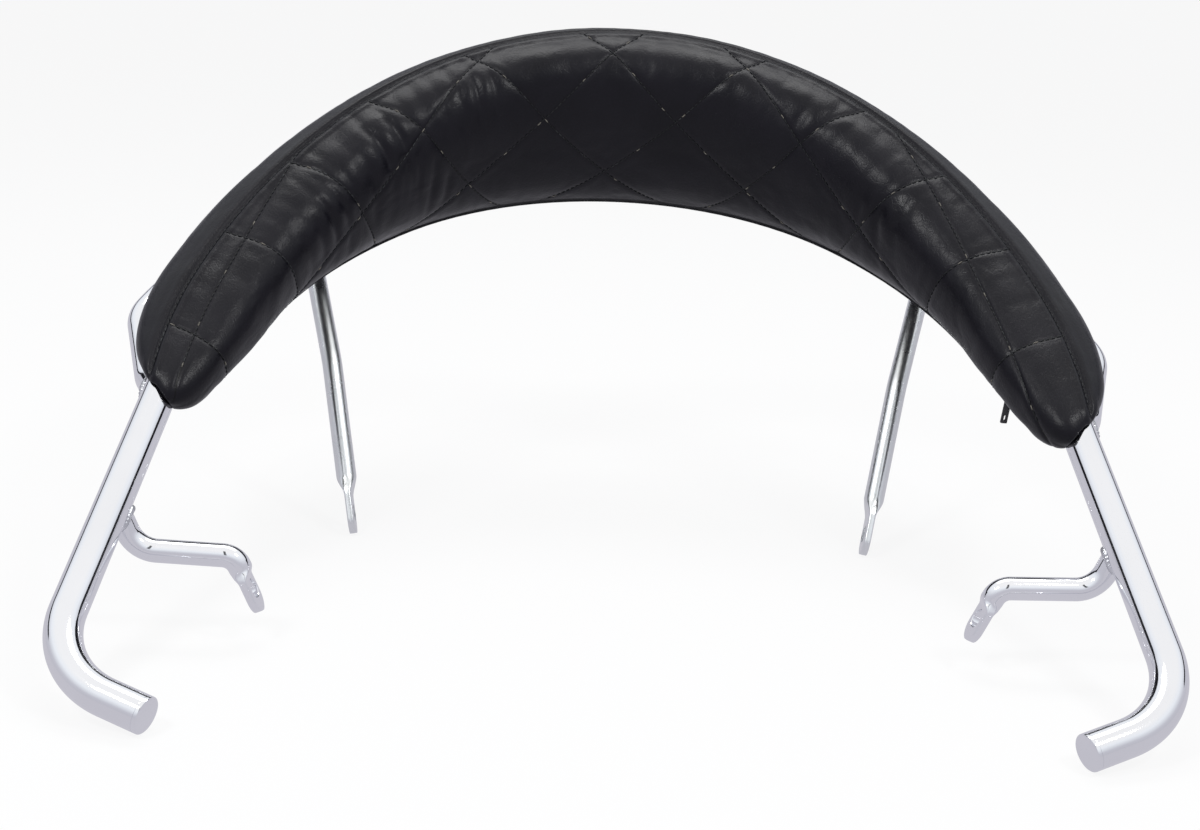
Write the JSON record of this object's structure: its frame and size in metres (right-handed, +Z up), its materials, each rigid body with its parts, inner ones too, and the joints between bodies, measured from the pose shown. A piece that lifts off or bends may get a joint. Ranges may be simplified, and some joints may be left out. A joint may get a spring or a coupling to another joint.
{
  "type": "motorcycle driver backrest",
  "caption": "Wrap-round driver backrest for a touring motorcycle: quilted zip-on pad on a bent chrome rail, with a rear hoop, struts and braces that end in drilled flats.",
  "frame": {"origin": "middle of the part's bounding box in X and Y, on the table that the rail tips and strut ends stand on", "axes": "+X to the right across the part, +Y to the rear, +Z up"},
  "size_m": [0.5962, 0.5028, 0.3157],
  "materials": {
    "chrome_tube": "bright polished plating",
    "weld_bead": "plated over a rough bead",
    "quilted_leather": "soft black, quilted in diamonds",
    "plain_leather": "soft black, smooth",
    "foam": "open-cell foam, hidden",
    "zip_fabric": "woven black tape",
    "zip_plastic": "black nylon",
    "zip_metal": "black lacquer, slightly worn"
  },
  "bodies": {
    "backrest": {"main_rail": "chrome_tube", "left_end_cap": "chrome_tube", "right_end_cap": "chrome_tube", "rear_hoop": "chrome_tube", "left_strut": "chrome_tube", "right_strut": "chrome_tube", "left_brace": "chrome_tube", "right_brace": "chrome_tube", "left_hoop_weld": "weld_bead", "right_hoop_weld": "weld_bead", "left_strut_weld": "weld_bead", "right_strut_weld": "weld_bead", "left_brace_weld": "weld_bead", "right_brace_weld": "weld_bead", "foam_core": "foam", "front_cover": "quilted_leather", "back_cover": "plain_leather", "front_zip_tape": "zip_fabric", "back_zip_tape": "zip_fabric", "front_zip_teeth": "zip_plastic", "back_zip_teeth": "zip_plastic", "left_zip_stop": "zip_metal", "right_zip_stop": "zip_metal", "zip_slider": "zip_metal"},
    "pull": {"zip_pull": "zip_metal"}
  },
  "joints": [
    {"name": "pull_swing", "type": "hinge", "parent": "backrest", "child": "pull", "pos_m": [0.23148, -0.00838, 0.12132], "axis": [0.9433, 0.3134, -0.1092], "range_deg": [-55, 50]}
  ]
}
